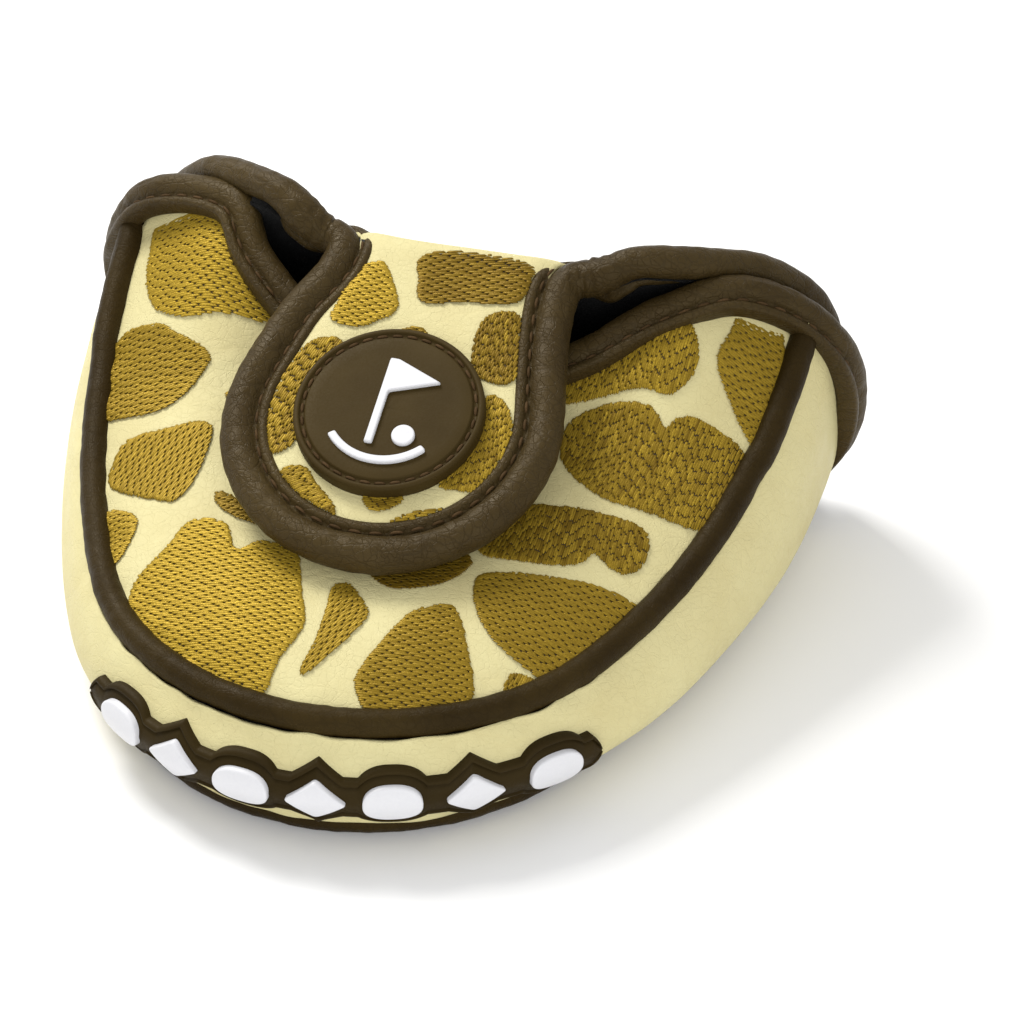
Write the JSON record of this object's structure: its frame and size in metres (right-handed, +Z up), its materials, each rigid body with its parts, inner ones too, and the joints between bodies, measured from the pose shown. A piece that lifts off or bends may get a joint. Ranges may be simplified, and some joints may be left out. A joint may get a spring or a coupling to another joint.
{
  "type": "putter head cover",
  "caption": "Padded D-shaped pouch for a mallet putter head, open along its rear edge, with a keyhole flap that folds over and closes on a magnet.",
  "frame": {"origin": "middle of the flat base, on the surface that the cover lies on", "axes": "+X across the cover to the right, -Y towards the curved closed front, +Y towards the open rear, +Z up"},
  "size_m": [0.1403, 0.1221, 0.0637],
  "materials": {
    "cream_leather": "fine pebbled cream synthetic leather, satin",
    "brown_leather": "soft dark brown synthetic leather, satin",
    "gold_thread": "shiny gold rayon embroidery thread",
    "foam": "soft open-cell padding",
    "plush": "black short-pile plush",
    "filler_cord": "twisted cotton filler cord",
    "brown_thread": "dark reddish-brown bonded sewing thread",
    "brown_rubber": "matte moulded dark brown rubber",
    "white_rubber": "raised white rubber, satin",
    "magnet": "nickel-plated disc magnet",
    "pouch_cloth": "thin woven polyester"
  },
  "bodies": {
    "cover": {"bottom_panel": "cream_leather", "bottom_foam": "foam", "bottom_lining": "plush", "gusset_band": "cream_leather", "gusset_foam": "foam", "gusset_lining": "plush", "top_panel": "cream_leather", "top_foam": "foam", "top_lining": "plush", "top_embroidery": "gold_thread", "rear_panel": "cream_leather", "rear_foam": "foam", "rear_lining": "plush", "rear_embroidery": "gold_thread", "top_piping": "brown_leather", "top_piping_cord": "filler_cord", "bottom_piping": "brown_leather", "bottom_piping_cord": "filler_cord", "front_binding": "brown_leather", "front_binding_filler": "filler_cord", "rear_binding_right": "brown_leather", "rear_binding_filler_right": "filler_cord", "rear_binding_left": "brown_leather", "rear_binding_filler_left": "filler_cord", "panel_magnet": "magnet", "panel_magnet_pouch": "pouch_cloth", "strip_base": "brown_rubber", "strip_motifs": "white_rubber"},
    "flap": {"flap_panel": "cream_leather", "flap_board": "foam", "flap_lining": "plush", "flap_embroidery": "gold_thread", "flap_binding": "brown_leather", "flap_binding_filler": "filler_cord", "flap_binding_thread": "brown_thread", "badge_base": "brown_rubber", "badge_emblem": "white_rubber", "badge_stitches": "brown_thread", "flap_magnet": "magnet", "flap_magnet_pouch": "pouch_cloth"}
  },
  "joints": [
    {"name": "flap_hinge", "type": "hinge", "parent": "cover", "child": "flap", "pos_m": [0, 0.033, 0.0565], "axis": [-1, 0, 0], "range_deg": [0, 150]}
  ]
}
